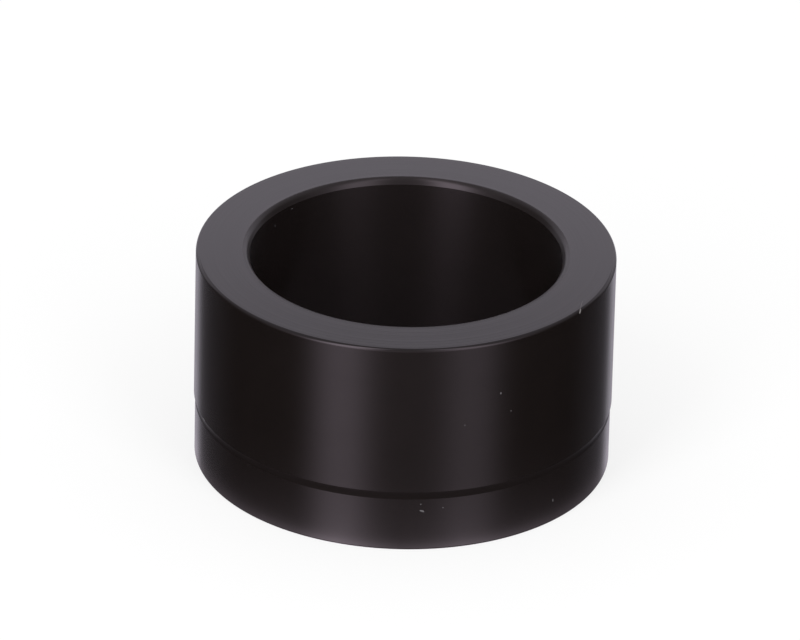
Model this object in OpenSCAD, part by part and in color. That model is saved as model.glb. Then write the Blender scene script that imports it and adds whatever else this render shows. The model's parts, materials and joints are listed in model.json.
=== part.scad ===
// Plain sleeve bushing, turned from black plastic rod.
// A straight land grips the housing that the bushing is pressed into.
// Below it a short pilot is turned to the housing's own size, so the bushing starts straight by hand.
// The shaft runs in the through bore, which has a rounded lead-in at both mouths.
// The axis is Z, and the bushing stands on its pilot end at z = 0.

/* [Bushing] */

// Outside diameter of the land, mm
land_d = 25.56; // [22.5:0.01:60]

// Length from the pilot end to the land end, mm
length = 13.7; // [6:0.1:80]

// Diameter of the through bore, mm
bore_d = 19.05; // [4:0.05:22.5]

/* [Pilot] */

// Length of the pilot, from its end up to the sharp lower edge of the land, mm
pilot_length = 4; // [1:0.1:12]

// How much smaller the pilot is than the land, on the diameter, mm
pilot_relief = 0.16; // [0.04:0.01:0.8]

// Radius of the cove that the cutting tool's nose leaves under the land, mm
cove_r = 1.75; // [0.5:0.05:4]

/* [Edges] */

// Radius of the outer edge at the land end, mm
land_edge_r = 0.2; // [0.05:0.01:1]

// Radius of the outer edge at the pilot end, mm
pilot_edge_r = 0.12; // [0.05:0.01:0.8]

/* [Lead-in] */

// Width of the lead-in at each mouth, from the bore out to the flat ring, mm
lead_in = 0.42; // [0.32:0.01:1.2]

// Angle of the lead-in cone to the axis, degrees
lead_in_angle = 30; // [15:1:60]

// Radius that blends the lead-in cone into the flat ring, mm
mouth_r = 0.36; // [0.1:0.01:0.46]

/* [Hidden] */

$fn = 180;

// How far a cut runs past the surface that it opens
past = 1;

// How far the lead-in cone's edge runs into the mouth's rounding, so that they meet cleanly
bite = 0.0001;

land_r = land_d / 2;
bore_r = bore_d / 2;

// The pilot's wall lies this far inside the land's
step = pilot_relief / 2;
pilot_r = land_r - step;

// The cove leaves the pilot's wall tangentially and meets the land this far above its start
cove_h = sqrt(2 * cove_r * step - step * step);
cove_z = pilot_length - cove_h;

// The mouth's rounding leaves the flat ring tangentially and runs into the cone here
blend_w = mouth_r * cos(lead_in_angle);
blend_h = mouth_r * (1 - sin(lead_in_angle));

// The cone takes up what is left of the lead-in's width
cone_w = lead_in - blend_w;
cone_h = cone_w / tan(lead_in_angle);
lead_in_h = blend_h + cone_h;

// One quadrant of waste outside a rounded corner whose arc is centred on the origin
module corner_waste(r) {
    difference() {
        square(r + past);
        circle(r);
    }
}

// Waste around the pilot: the plain cut below, then the cove up to the land
module pilot_waste() {
    translate([pilot_r, -past])
        square([step + past, cove_z + past]);
    intersection() {
        translate([pilot_r + cove_r, cove_z])
            circle(cove_r);
        translate([pilot_r, cove_z])
            square([step + past, cove_h]);
    }
}

// Waste of a lead-in, opening upwards to a flat ring at height 0
module lead_in_waste() {
    difference() {
        polygon([
            [bore_r - past, -lead_in_h - past / tan(lead_in_angle)],
            [bore_r + cone_w + bite * cos(lead_in_angle), -blend_h - bite * sin(lead_in_angle)],
            [bore_r + lead_in, 0],
            [bore_r + lead_in, past],
            [bore_r - past, past]
        ]);
        translate([bore_r + lead_in, -mouth_r])
            circle(mouth_r);
    }
}

// Half of the section, to the right of the axis
module half_section() {
    difference() {
        translate([bore_r, 0])
            square([land_r - bore_r, length]);
        pilot_waste();
        translate([land_r - land_edge_r, length - land_edge_r])
            corner_waste(land_edge_r);
        translate([pilot_r - pilot_edge_r, pilot_edge_r])
            mirror([0, 1])
                corner_waste(pilot_edge_r);
        translate([0, length])
            lead_in_waste();
        mirror([0, 1])
            lead_in_waste();
    }
}

module bushing() {
    color([0.11, 0.1, 0.1])
        rotate_extrude()
            half_section();
}

bushing();
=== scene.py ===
import json
import math
import random

import bmesh
import bpy
from mathutils import Matrix, Vector


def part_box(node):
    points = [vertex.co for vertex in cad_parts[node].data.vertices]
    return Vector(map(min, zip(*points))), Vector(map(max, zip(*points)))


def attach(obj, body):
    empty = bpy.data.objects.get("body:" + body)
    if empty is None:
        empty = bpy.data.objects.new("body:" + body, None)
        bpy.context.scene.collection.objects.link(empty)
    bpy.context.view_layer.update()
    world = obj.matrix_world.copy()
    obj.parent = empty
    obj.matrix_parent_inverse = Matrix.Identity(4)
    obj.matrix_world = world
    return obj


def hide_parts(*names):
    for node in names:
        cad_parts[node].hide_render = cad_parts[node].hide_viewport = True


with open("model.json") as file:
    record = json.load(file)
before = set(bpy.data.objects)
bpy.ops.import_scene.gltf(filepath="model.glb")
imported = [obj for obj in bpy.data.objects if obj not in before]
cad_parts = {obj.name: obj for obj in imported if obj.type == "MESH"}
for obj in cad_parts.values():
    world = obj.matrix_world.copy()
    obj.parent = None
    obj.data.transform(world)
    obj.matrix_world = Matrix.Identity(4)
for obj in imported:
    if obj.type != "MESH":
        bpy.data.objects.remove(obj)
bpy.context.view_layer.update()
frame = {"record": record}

MM = 0.001

# Sizes that the frame gives
low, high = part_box("bushing")
LAND_R = (high.x - low.x) / 2
LENGTH = high.z - low.z
BORE_R = next(m["dims"]["r_mm"] for m in frame["record"]["mounts"] if m["name"] == "bore") * MM

# Sizes of the turned form that the frame doesn't state
PILOT_STEP = 0.08 * MM
PILOT_R = LAND_R - PILOT_STEP
PILOT_LENGTH = 4 * MM
COVE_R = 1.75 * MM
COVE_TURN = math.acos(1 - (LAND_R - PILOT_R) / COVE_R)
LAND_EDGE_R = 0.2 * MM
PILOT_EDGE_R = 0.12 * MM
LEAD_IN = 0.42 * MM
LEAD_IN_ANGLE = math.radians(30)
MOUTH_R = 0.36 * MM
EDGE_BREAK = 0.02 * MM  # what handling takes off an edge that the tool left sharp

# Ways that the section's normals point, as angles from straight out
OUT = 0
UP = math.pi / 2
DOWN = -math.pi / 2
INWARD = math.pi

# How finely the turned skin is divided
SEGMENTS = 512
ROUNDING_STEPS = 12
PILOT_EDGE_STEPS = 10
COVE_STEPS = 8
BREAK_STEPS = 4

# The finishes, in the order of the sleeve's materials; the bore's and the lead-in's also carry painted
# light
TURNED_WALL, FACED_END, BORED_WALL, LEAD_IN_WALL, SHOULDER = range(5)

# Where one finish ends and the next begins, in the sum of the normals at a band's two sides
BORE_BELOW = -1.95
LEAD_IN_BELOW = -0.05
WALL_ABOVE = 1.5
OVERHANG_BELOW = -0.02
END_ABOVE = 0.7

# The photograph's camera, which stands on the -Y side
PHOTO_W = 800
SENSOR = 36
CAMERA_DISTANCE = 621.35 * MM
CAMERA_ELEVATION = math.radians(27.927)
CAMERA_ROLL = math.radians(1.4035)
PIXELS_PER_M = 16302.9
AIM_RIGHT = 0.087 * MM
AIM_UP = 7.907 * MM
CLIP_START = 0.01
CLIP_END = 10

# The plastic's own colour, which varies softly between these two
DARK_PLASTIC = (0.0065, 0.0047, 0.0044)
LIGHT_PLASTIC = (0.0085, 0.0062, 0.0058)
PLASTIC_IOR = 1.48

# The plastic's noise: fine rings of the tool's feed, broader bands of it, and clouds in the colour
FEED_NOISE = {"Scale": 9000, "Detail": 2}
BAND_NOISE = {"Scale": 900, "Detail": 3}
CLOUD_NOISE = {"Scale": 500, "Detail": 4}
FEED_BUMP = {"Strength": 0.05, "Distance": 0.00002}
SPREAD_ALONG_AXIS = 0.25  # the turn that makes an anisotropic gloss spread along the axis

# The studio as the gloss shows it, in pairs of degrees and brightness.
# Across runs from the light's middle to its sides, and upright from below the horizon to above it.
# The side light is measured from the front and the back side light from the back, both ways round.
LEFT_STRIP_AT = -34
RIGHT_STRIP_AT = 38.5
STRIP_ACROSS = [(0, 1), (6, 0.92), (12, 0.58), (18, 0.22), (24, 0.05), (28, 0)]
STRIP_UPRIGHT = [
    (-31.3, 0), (-29.7, 0.58), (-20, 0.5), (-6, 0.5), (2, 1.16), (40, 1.2), (70, 1), (86, 0),
]
FRONT_ACROSS = [(25, 1), (55, 0)]
FRONT_UPRIGHT = [
    (-31.3, 0), (-29.7, 0.56), (-20, 0.5), (-6, 0.5), (2, 1.1), (20, 1), (30, 0.4), (42, 0),
]
SIDE_AT = 58
SIDE_ACROSS = [(0, 1), (10, 0.8), (24, 0)]
SIDE_UPRIGHT = [(-6, 0), (2, 1), (34, 1), (46, 0)]
BACK_SIDE_AT = 40
BACK_SIDE_ACROSS = [(0, 1), (12, 0.8), (20, 0)]
BACK_SIDE_UPRIGHT = [(-10, 0), (-2, 1), (30, 1), (42, 0)]
SWEEP_ACROSS = [
    (0, 0.92), (12, 0.95), (20, 1), (24, 0.9), (27, 0.58),
    (31, 0.26), (36, 0.18), (46, 0.12), (58, 0.08), (75, 0),
]
SWEEP_UPRIGHT = [
    (-58, 0), (-50, 0.6), (-42, 1.05), (-35, 1.1), (-31, 0.62), (-29, 0.58),
    (-10, 0.58), (5, 0.57), (14, 0.58), (20, 0.6), (24, 0.72), (26.4, 0.99),
    (27.2, 1.29), (27.9, 0.49), (28.6, 0.34), (30, 0.29), (34, 0.18), (44, 0),
]
CEILING_UPRIGHT = [(-4, 0), (4, 0.22), (22, 0.26), (36, 0.7), (52, 1)]

# How bright the studio's lights are, where 1 is white, and their tints
LEFT_STRIP = 2.5
RIGHT_STRIP = 1.3
FRONT = 0.36
SIDE = 0.32
BACK_SIDE = 0.45
SWEEP = 1.035
CEILING = 0.4
FRONT_TINT = (1.09, 0.92, 1.06, 1)
BACK_TINT = (1.03, 0.97, 1.1, 1)
WHITE = (1, 1, 1, 1)
SOFT = 0.8  # the even light that shades the floor and the plastic's own colour

# The floor, and the share of plain white that the camera sees on it
FLOOR_HALF = 3
FLOOR_COLOUR = (0.9, 0.9, 0.9, 1)
FLOOR_WHITE = 0.75

# The lit floor round the base as the gloss shows it:
# by mm from the pilot's wall, and by degrees from the camera's side
BASE_GLOW = [
    (0, 1.4), (0.5, 0.95), (1, 0.54), (1.6, 0.33), (2.1, 0.26), (3, 0.2), (5, 0.12), (8, 0.03), (12, 0),
]
BASE_GLOW_REACH = 12
BASE_GLOW_ROUND = [
    (-80, 0.1), (-65, 0.17), (-49, 0.42), (-30, 0.9), (-18, 2.0), (0, 0.87),
    (18, 1.4), (30, 0.9), (49, 0.42), (65, 0.17), (80, 0.1),
]
BORE_GLOW = 0.07

# The softboxes: degrees round from the camera's side, metres and watts
SOFTBOX_AT = 34
SOFTBOX_ELEVATION = 38
SOFTBOX_DISTANCE = 0.6
SOFTBOX_WIDTH = 0.2
SOFTBOX_HEIGHT = 0.5
LEFT_POWER = 1.6
RIGHT_POWER = 1.0

# Dust that the photograph shows: degrees from the camera's side,
# then height, breadth and tallness in mm, and tilt in degrees
WALL_SPECKS = [
    (27.3, 10.17, 0.12, 0.17, 0),
    (17.1, 8.4, 0.086, 0.082, 0),
    (30.6, 8.8, 0.083, 0.078, 0),
    (5.95, 2.69, 0.34, 0.15, -24),
    (5.6, 3.15, 0.1, 0.08, 0),
    (11.7, 2.85, 0.1, 0.068, 0),
    (46.6, 1.49, 0.075, 0.22, 0),
    (-70.4, 4, 0.4, 0.18, 0),
]
BORE_SPECKS = [
    (-122.1, 12.56, 0.095, 0.09, 0),
    (-132.1, 13.1, 0.16, 0.035, 0),
]
DUST_SEED = 7
SPECK_SIDES = 10
SPECK_RAGGED = (0.75, 1.1)  # least and most share of a speck's size that its outline reaches
SPECK_RISE = 0.03 * MM
SPECK_LOOPS = [(0.8, -0.2), (1, 0.3), (0.6, 1)]  # shares of a speck's size and of its rise

# A short fibre that lies on the top face and hangs over its outer edge.
# Swells and rises are by share of its length: its radius, and how far it stands over the surface, in mm
FIBRE_SWELLS = [(0, 0.045), (0.1, 0.045), (0.17, 0.016), (0.5, 0.016), (0.72, 0.04), (1, 0.045)]
FIBRE_RISES = [(0, 0.002), (0.58, 0.002), (0.8, 0.035), (1, 0.04)]
FIBRE_START = (60.8, 12.22)  # degrees from the camera's side, and mm from the axis
FIBRE_EDGE = 57
FIBRE_END = 55.2
FIBRE_TURNS_AT = 0.5  # share of its length that lies on the face
FIBRE_BEND = 75  # degrees that it turns over the edge
FIBRE_STEPS = 24
FIBRE_SIDES = 8

# Lint, of which the dust and the fibre are made
DUST_COLOUR = (0.13, 0.123, 0.13)
FIBRE_COLOUR = (0.22, 0.205, 0.205)
LINT_DARK = 0.6  # the share of its colour that lint has where it is darkest
LINT_NOISE = {"Scale": 30000, "Detail": 4}
LINT_ROUGHNESS = 0.9
LINT_SPECULAR = 0.1
SPECKS_SLOT, FIBRE_SLOT = range(2)


def polar(angle):
    return Vector((math.cos(angle), math.sin(angle)))


def rounded(corner, start, end, radius, steps):
    """Points and normals of a rounded corner of the section, whose normal turns from start to end."""
    before, after = polar(start), polar(end)
    centre = corner - radius * (before + after) / (1 + before.dot(after))
    angles = [start + (end - start) * i / steps for i in range(steps + 1)]
    return [(centre + radius * polar(a), polar(a)) for a in angles]


def cove():
    """The cove under the land, from the pilot's wall up to the land's lower edge."""
    centre = Vector((PILOT_R + COVE_R, PILOT_LENGTH - COVE_R * math.sin(COVE_TURN)))
    angles = [-COVE_TURN * i / COVE_STEPS for i in range(COVE_STEPS)]
    return [(centre - COVE_R * polar(a), polar(a)) for a in angles]


def section():
    """The half section, once round from the bore's lower end, as points (radius, height) with normals."""
    lean = LEAD_IN_ANGLE
    blend_w = MOUTH_R * math.cos(lean)
    blend_h = MOUTH_R * (1 - math.sin(lean))
    lead_h = blend_h + (LEAD_IN - blend_w) / math.tan(lean)
    mouth_x = BORE_R + lead_h * math.tan(lean)
    points = rounded(Vector((BORE_R, lead_h)), -INWARD, lean - INWARD, EDGE_BREAK, BREAK_STEPS)
    points += rounded(Vector((mouth_x, 0)), lean - INWARD, DOWN, MOUTH_R, ROUNDING_STEPS)
    points += rounded(Vector((PILOT_R, 0)), DOWN, OUT, PILOT_EDGE_R, PILOT_EDGE_STEPS)
    points += cove()
    points += rounded(Vector((LAND_R, PILOT_LENGTH)), -COVE_TURN, OUT, EDGE_BREAK, BREAK_STEPS)
    points += rounded(Vector((LAND_R, LENGTH)), OUT, UP, LAND_EDGE_R, ROUNDING_STEPS)
    points += rounded(Vector((mouth_x, LENGTH)), UP, INWARD - lean, MOUTH_R, ROUNDING_STEPS)
    points += rounded(Vector((BORE_R, LENGTH - lead_h)), INWARD - lean, INWARD, EDGE_BREAK, BREAK_STEPS)
    return points


def finish(p, q):
    """Which of the finishes a band of the section has, from the points and normals at its two sides."""
    normal = p[1] + q[1]
    if normal.x < BORE_BELOW:
        return BORED_WALL
    if normal.x < LEAD_IN_BELOW:
        return LEAD_IN_WALL
    if normal.x > WALL_ABOVE and normal.y < OVERHANG_BELOW:
        return SHOULDER
    return FACED_END if abs(normal.y) > END_ABOVE else TURNED_WALL


def add_object(name, data):
    made = bpy.data.objects.new(name, data)
    bpy.context.collection.objects.link(made)
    return made


def turned_sleeve():
    """The bushing as one turned skin, with the true normals of its section."""
    profile = section()
    count = len(profile)
    bm = bmesh.new()
    rings = []
    normals = []
    for step in range(SEGMENTS):
        a = 2 * math.pi * step / SEGMENTS
        c, s = math.cos(a), math.sin(a)
        rings.append([bm.verts.new((p.x * c, p.x * s, p.y)) for p, _ in profile])
        normals += [(n.x * c, n.x * s, n.y) for _, n in profile]
    for step, ring in enumerate(rings):
        after = rings[(step + 1) % SEGMENTS]
        for i in range(count):
            j = (i + 1) % count
            face = bm.faces.new((ring[i], after[i], after[j], ring[j]))
            face.material_index = finish(profile[i], profile[j])
    mesh = bpy.data.meshes.new("turned_sleeve")
    bm.to_mesh(mesh)
    bm.free()
    mesh.shade_smooth()
    mesh.normals_split_custom_set_from_vertices(normals)
    return add_object("turned_sleeve", mesh)


def node(tree, kind, inputs=(), **settings):
    """A new node, whose inputs are values or the sockets that they are linked to."""
    made = tree.nodes.new(kind)
    for name, value in settings.items():
        setattr(made, name, value)
    for name, value in dict(inputs).items():
        if isinstance(value, bpy.types.NodeSocket):
            tree.links.new(value, made.inputs[name])
        else:
            made.inputs[name].default_value = value
    return made


def math_node(tree, operation, *values):
    return node(tree, "ShaderNodeMath", dict(enumerate(values)), operation=operation).outputs[0]


def noise(tree, kind, **inputs):
    return node(tree, "ShaderNodeTexNoise", {**inputs, **kind}).outputs[0]


def mixed_colour(tree, factor, dark, pale):
    """A colour between dark and pale, which are red, green and blue."""
    inputs = {"Factor": factor, 6: (*dark, 1), 7: (*pale, 1)}
    return node(tree, "ShaderNodeMix", inputs, data_type="RGBA").outputs[2]


def new_material(name):
    material = bpy.data.materials.new(name)
    material.use_nodes = True
    return material, material.node_tree


def black_plastic(name, roughness, spread, painted_light_gain=1, anisotropic=0, specular=0.5):
    """Black plastic with fine rings round the axis that the cutting tool left."""
    material, tree = new_material(name)
    shader = tree.nodes["Principled BSDF"]
    place = node(tree, "ShaderNodeTexCoord").outputs["Object"]
    x, y, z = node(tree, "ShaderNodeSeparateXYZ", {0: place}).outputs
    flat = node(tree, "ShaderNodeCombineXYZ", {0: x, 1: y}).outputs[0]
    radius = node(tree, "ShaderNodeVectorMath", {0: flat}, operation="LENGTH").outputs["Value"]
    across = node(tree, "ShaderNodeCombineXYZ", {0: radius, 1: z}).outputs[0]

    feed = noise(tree, FEED_NOISE, Vector=across)
    bands = noise(tree, BAND_NOISE, Vector=across)
    cloud = noise(tree, CLOUD_NOISE, Vector=place)

    rough = {"Value": bands, "To Min": roughness - spread, "To Max": roughness + spread}
    rough = node(tree, "ShaderNodeMapRange", rough).outputs[0]
    # Painted light: a gain above 1 gives a lighter copy of the plastic's colour, to lighten a hollow that
    # gets little light
    dark, pale = (tuple(painted_light_gain * c for c in colour) for colour in (DARK_PLASTIC, LIGHT_PLASTIC))
    tint = mixed_colour(tree, cloud, dark, pale)
    bump = node(tree, "ShaderNodeBump", {"Height": feed, **FEED_BUMP}).outputs[0]

    tree.links.new(tint, shader.inputs["Base Color"])
    tree.links.new(rough, shader.inputs["Roughness"])
    tree.links.new(bump, shader.inputs["Normal"])
    shader.inputs["IOR"].default_value = PLASTIC_IOR
    shader.inputs["Specular IOR Level"].default_value = specular
    if anisotropic:
        tangent = node(tree, "ShaderNodeTangent", direction_type="RADIAL", axis="Z").outputs[0]
        tree.links.new(tangent, shader.inputs["Tangent"])
        shader.inputs["Anisotropic"].default_value = anisotropic
        shader.inputs["Anisotropic Rotation"].default_value = SPREAD_ALONG_AXIS
    return material


def add_tube(bm, loops, slot):
    """Closed skin over loops of vertices, with a cap at each end."""
    count = len(loops[0])
    faces = []
    for below, above in zip(loops, loops[1:]):
        for i in range(count):
            j = (i + 1) % count
            faces.append(bm.faces.new((below[i], below[j], above[j], above[i])))
    faces.append(bm.faces.new(loops[-1]))
    faces.append(bm.faces.new(reversed(loops[0])))
    for face in faces:
        face.material_index = slot


def add_speck(bm, draw, speck, wall_r, side):
    """A lump of lint on a wall. Side is 1 on an outside wall and -1 in the bore."""
    azimuth, height, breadth, tallness, tilt = speck
    a, lean = math.radians(azimuth), math.radians(tilt)
    normal = side * Vector((math.sin(a), -math.cos(a), 0))
    level = Vector((math.cos(a), math.sin(a), 0))
    upright = Vector((0, 0, 1))
    along = (math.cos(lean) * level + math.sin(lean) * upright) * breadth / 2 * MM
    across = (math.cos(lean) * upright - math.sin(lean) * level) * tallness / 2 * MM
    middle = side * wall_r * normal + height * MM * upright
    outline = [(2 * math.pi * i / SPECK_SIDES, draw.uniform(*SPECK_RAGGED)) for i in range(SPECK_SIDES)]
    loops = []
    for share, rise in SPECK_LOOPS:
        loop = []
        for turn, far in outline:
            flat = math.cos(turn) * along + math.sin(turn) * across
            loop.append(bm.verts.new(middle + flat * share * far + normal * (rise * SPECK_RISE)))
        loops.append(loop)
    add_tube(bm, loops, SPECKS_SLOT)


def lint(name, colour):
    material, tree = new_material(name)
    shader = tree.nodes["Principled BSDF"]
    dark = tuple(LINT_DARK * c for c in colour)
    tint = mixed_colour(tree, noise(tree, LINT_NOISE), dark, colour)
    tree.links.new(tint, shader.inputs["Base Color"])
    shader.inputs["Roughness"].default_value = LINT_ROUGHNESS
    shader.inputs["Specular IOR Level"].default_value = LINT_SPECULAR
    return material


def outside_r(height):
    """The outside radius at a height, from the pilot's wall through the cove to the land."""
    if height >= PILOT_LENGTH:
        return LAND_R
    up_cove = max(0, height - PILOT_LENGTH + COVE_R * math.sin(COVE_TURN))
    return PILOT_R + COVE_R - math.sqrt(COVE_R ** 2 - up_cove ** 2)


def between(stops, at):
    """The value at a place along the stops, which are pairs of a place and a value."""
    for (start, low_value), (end, high_value) in zip(stops, stops[1:]):
        if at <= end:
            return low_value + (high_value - low_value) * (at - start) / (end - start)


def round_axis(azimuth, radius, height):
    """A place from degrees round the axis, which start at the camera's side."""
    a = math.radians(azimuth)
    return Vector((radius * math.sin(a), -radius * math.cos(a), height))


def fibre_route():
    """The fibre's middle line and radii: straight over the top face, then round the land's upper edge."""
    azimuth, radius = FIBRE_START
    edge_r = LAND_R - LAND_EDGE_R
    deep = LENGTH - LAND_EDGE_R
    start = round_axis(azimuth, radius * MM, 0)
    edge = round_axis(FIBRE_EDGE, edge_r, 0)
    route = []
    for i in range(FIBRE_STEPS + 1):
        share = i / FIBRE_STEPS
        thick = between(FIBRE_SWELLS, share) * MM
        over = between(FIBRE_RISES, share) * MM - thick
        if share < FIBRE_TURNS_AT:
            middle = start.lerp(edge, share / FIBRE_TURNS_AT) + Vector((0, 0, LENGTH + over))
        else:
            bend = (share - FIBRE_TURNS_AT) / (1 - FIBRE_TURNS_AT)
            lean = polar(math.radians(90 - FIBRE_BEND * bend)) * (LAND_EDGE_R + over)
            azimuth = FIBRE_EDGE + (FIBRE_END - FIBRE_EDGE) * bend
            middle = round_axis(azimuth, edge_r + lean.x, deep + lean.y)
        route.append((middle, thick))
    return route


def add_fibre(bm):
    """A thin closed tube along the fibre's route."""
    route = fibre_route()
    last = len(route) - 1
    turns = [2 * math.pi * k / FIBRE_SIDES for k in range(FIBRE_SIDES)]
    loops = []
    for i, (middle, thick) in enumerate(route):
        along = (route[min(i + 1, last)][0] - route[max(i - 1, 0)][0]).normalized()
        level = along.cross(Vector((0, 0, 1))).normalized()
        upright = level.cross(along)
        offsets = [thick * (math.cos(t) * level + math.sin(t) * upright) for t in turns]
        loops.append([bm.verts.new(middle + offset) for offset in offsets])
    add_tube(bm, loops, FIBRE_SLOT)


def add_dust():
    draw = random.Random(DUST_SEED)
    bm = bmesh.new()
    for speck in WALL_SPECKS:
        height = speck[1] * MM
        add_speck(bm, draw, speck, outside_r(height), 1)
    for speck in BORE_SPECKS:
        add_speck(bm, draw, speck, BORE_R, -1)
    add_fibre(bm)
    bmesh.ops.recalc_face_normals(bm, faces=bm.faces)
    mesh = bpy.data.meshes.new("dust")
    bm.to_mesh(mesh)
    bm.free()
    mesh.materials.append(lint("dust", DUST_COLOUR))
    mesh.materials.append(lint("fibre", FIBRE_COLOUR))
    piece = add_object("dust", mesh)
    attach(piece, "root")


def add_camera():
    e, r = CAMERA_ELEVATION, CAMERA_ROLL
    forward = Vector((0, math.cos(e), -math.sin(e)))
    level = Vector((1, 0, 0))
    rise = Vector((0, math.sin(e), math.cos(e)))
    right = math.cos(r) * level + math.sin(r) * rise
    up = -math.sin(r) * level + math.cos(r) * rise
    data = bpy.data.cameras.new("camera")
    data.sensor_fit = "HORIZONTAL"
    data.sensor_width = SENSOR
    data.lens = SENSOR * PIXELS_PER_M * CAMERA_DISTANCE / PHOTO_W
    data.clip_start = CLIP_START
    data.clip_end = CLIP_END
    turn = Matrix((right, up, -forward)).transposed().to_4x4()
    turn.translation = -AIM_RIGHT * right + AIM_UP * up - CAMERA_DISTANCE * forward
    camera = add_object("camera", data)
    camera.matrix_world = turn
    bpy.context.scene.camera = camera


def curve(tree, value, least, most, stops):
    """A brightness that follows value through the stops, which are pairs of a value and a brightness."""
    ramp = tree.nodes.new("ShaderNodeValToRGB")
    ramp.color_ramp.interpolation = "LINEAR"
    elements = ramp.color_ramp.elements
    while len(elements) < len(stops):
        elements.new(0.5)
    for element, (at, bright) in zip(elements, stops):
        element.position = (at - least) / (most - least)
        element.color = (bright, bright, bright, 1)
    share = {"Value": value, "From Min": least, "From Max": most}
    share = node(tree, "ShaderNodeMapRange", share).outputs[0]
    tree.links.new(share, ramp.inputs[0])
    return ramp.outputs[0]


def turn_from_camera(tree, x, y):
    """Degrees round the axis from the camera's side, positive to the right."""
    toward = math_node(tree, "MULTIPLY", y, -1)
    return math_node(tree, "DEGREES", math_node(tree, "ARCTAN2", x, toward))


def glow(tree, kind, colour, strength):
    return node(tree, kind, {"Color": colour, "Strength": strength}).outputs[0]


def mixed_shader(tree, factor, first, second):
    return node(tree, "ShaderNodeMixShader", {0: factor, 1: first, 2: second}).outputs[0]


def added_shader(tree, first, second):
    return node(tree, "ShaderNodeAddShader", {0: first, 1: second}).outputs[0]


def plain_floor(tree, path):
    """The floor as the camera and soft light see it."""
    seen = math_node(tree, "MAXIMUM", path["Is Camera Ray"], path["Is Transmission Ray"])
    matt = node(tree, "ShaderNodeBsdfDiffuse", {"Color": FLOOR_COLOUR}).outputs[0]
    white = glow(tree, "ShaderNodeEmission", WHITE, 1)
    return mixed_shader(tree, math_node(tree, "MULTIPLY", seen, FLOOR_WHITE), matt, white)


def mirrored_floor(tree):
    """The floor as gloss shows it: clear, so that the studio shows, but for a glow round the base."""
    place = node(tree, "ShaderNodeTexCoord").outputs["Object"]
    x, y = node(tree, "ShaderNodeSeparateXYZ", {0: place}).outputs[:2]
    radius = node(tree, "ShaderNodeVectorMath", {0: place}, operation="LENGTH").outputs["Value"]
    gap = math_node(tree, "DIVIDE", math_node(tree, "SUBTRACT", radius, PILOT_R), MM)
    lit = math_node(
        tree, "MULTIPLY",
        curve(tree, gap, 0, BASE_GLOW_REACH, BASE_GLOW),
        curve(tree, turn_from_camera(tree, x, y), -180, 180, BASE_GLOW_ROUND),
    )
    clear = node(tree, "ShaderNodeBsdfTransparent").outputs[0]
    outside = added_shader(tree, clear, glow(tree, "ShaderNodeEmission", FRONT_TINT, lit))
    inside = glow(tree, "ShaderNodeEmission", FRONT_TINT, BORE_GLOW)
    in_bore = math_node(tree, "LESS_THAN", radius, PILOT_R - PILOT_EDGE_R)
    return mixed_shader(tree, in_bore, outside, inside)


def add_floor():
    """A white floor that keeps the object's shadow."""
    half = FLOOR_HALF
    mesh = bpy.data.meshes.new("floor")
    corners = [(-half, -half, 0), (half, -half, 0), (half, half, 0), (-half, half, 0)]
    mesh.from_pydata(corners, [], [(0, 1, 2, 3)])
    floor = add_object("floor", mesh)
    material, tree = new_material("white_floor")
    tree.nodes.clear()
    path = node(tree, "ShaderNodeLightPath").outputs
    both = mixed_shader(tree, path["Is Glossy Ray"], plain_floor(tree, path), mirrored_floor(tree))
    node(tree, "ShaderNodeOutputMaterial", {"Surface": both})
    material.cycles.emission_sampling = "NONE"
    mesh.materials.append(material)


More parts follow.
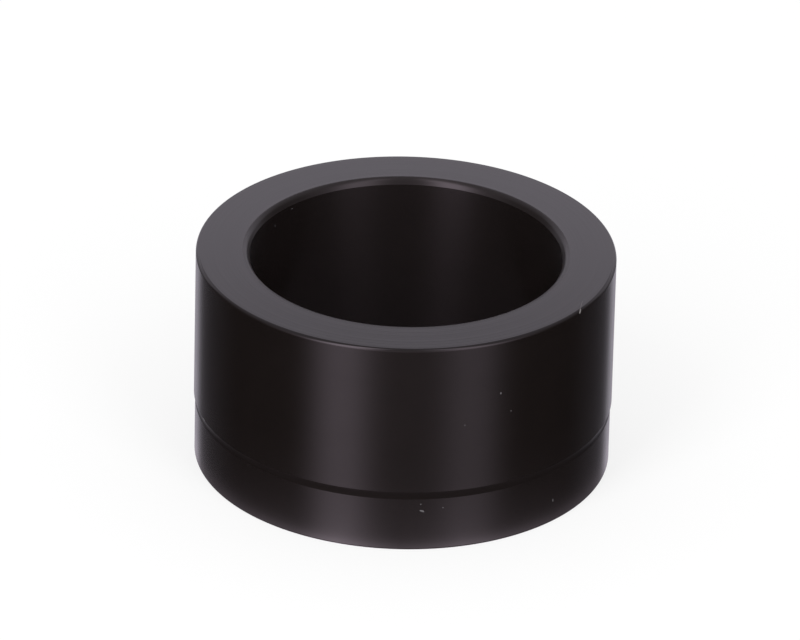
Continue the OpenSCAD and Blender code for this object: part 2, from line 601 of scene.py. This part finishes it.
def studio(tree):
    """The studio that gloss shows: sweep, ceiling and side lights behind, strips and fills in front."""
    way = node(tree, "ShaderNodeTexCoord").outputs["Generated"]
    x, y, z = node(tree, "ShaderNodeSeparateXYZ", {0: way}).outputs
    turn = turn_from_camera(tree, x, y)
    rise = math_node(tree, "DEGREES", math_node(tree, "ARCSINE", z))
    off_front = math_node(tree, "ABSOLUTE", turn)
    off_back = math_node(tree, "SUBTRACT", 180, off_front)

    def off(degrees, middle):
        return math_node(tree, "ABSOLUTE", math_node(tree, "SUBTRACT", degrees, middle))

    def light(strength, aside, across, upright):
        aside = curve(tree, aside, 0, 180, across)
        share = math_node(tree, "MULTIPLY", aside, curve(tree, rise, -90, 90, upright))
        return math_node(tree, "MULTIPLY", share, strength)

    def total(first, *others):
        for other in others:
            first = math_node(tree, "ADD", first, other)
        return first

    back = total(
        light(SWEEP, off_back, SWEEP_ACROSS, SWEEP_UPRIGHT),
        math_node(tree, "MULTIPLY", curve(tree, rise, -90, 90, CEILING_UPRIGHT), CEILING),
        light(BACK_SIDE, off(off_back, BACK_SIDE_AT), BACK_SIDE_ACROSS, BACK_SIDE_UPRIGHT),
    )
    front = total(
        light(LEFT_STRIP, off(turn, LEFT_STRIP_AT), STRIP_ACROSS, STRIP_UPRIGHT),
        light(RIGHT_STRIP, off(turn, RIGHT_STRIP_AT), STRIP_ACROSS, STRIP_UPRIGHT),
        light(FRONT, off_front, FRONT_ACROSS, FRONT_UPRIGHT),
        light(SIDE, off(off_front, SIDE_AT), SIDE_ACROSS, SIDE_UPRIGHT),
    )
    back = glow(tree, "ShaderNodeBackground", BACK_TINT, back)
    front = glow(tree, "ShaderNodeBackground", FRONT_TINT, front)
    return added_shader(tree, back, front)


def add_world():
    """White all round for the camera, an even light for matt surfaces, and the studio for gloss."""
    world = bpy.data.worlds.new("studio")
    bpy.context.scene.world = world
    world.use_nodes = True
    world.cycles.sampling_method = "NONE"
    tree = world.node_tree
    tree.nodes.clear()
    path = node(tree, "ShaderNodeLightPath").outputs
    plain = math_node(tree, "MAXIMUM", path["Is Camera Ray"], SOFT)
    even = glow(tree, "ShaderNodeBackground", WHITE, plain)
    both = mixed_shader(tree, path["Is Glossy Ray"], even, studio(tree))
    node(tree, "ShaderNodeOutputWorld", {"Surface": both})


def add_softbox(name, azimuth, power):
    """A softbox that faces the object. Azimuth is from the camera's side, positive to the right."""
    a, e = math.radians(azimuth), math.radians(SOFTBOX_ELEVATION)
    way = Vector((math.sin(a) * math.cos(e), -math.cos(a) * math.cos(e), math.sin(e)))
    data = bpy.data.lights.new(name, "AREA")
    data.shape = "RECTANGLE"
    data.size = SOFTBOX_WIDTH
    data.size_y = SOFTBOX_HEIGHT
    data.energy = power
    lamp = add_object(name, data)
    lamp.location = SOFTBOX_DISTANCE * way + Vector((0, 0, LENGTH / 2))
    lamp.rotation_mode = "QUATERNION"
    lamp.rotation_quaternion = way.to_track_quat("Z", "Y")
    lamp.visible_glossy = False


sleeve = turned_sleeve()
for plastic in (
    black_plastic("turned_wall", roughness=0.2, spread=0.015),
    black_plastic("faced_end", roughness=0.08, spread=0.01),
    # The bore and the lead-in get a lighter copy of the plastic's colour: painted light for a hollow that
    # gets little light
    black_plastic("bored_wall_painted_light", roughness=0.255, spread=0.012, painted_light_gain=1.2, anisotropic=1),
    black_plastic("lead_in", roughness=0.285, spread=0.01, painted_light_gain=1.4, anisotropic=0.95),
    black_plastic("shoulder", roughness=0.4, spread=0.02, specular=0.08),
):
    sleeve.data.materials.append(plastic)
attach(sleeve, "root")
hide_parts("bushing")
add_dust()

add_camera()
add_floor()
add_world()
add_softbox("left_softbox", -SOFTBOX_AT, LEFT_POWER)
add_softbox("right_softbox", SOFTBOX_AT, RIGHT_POWER)

bpy.context.scene.view_settings.view_transform = "Standard"
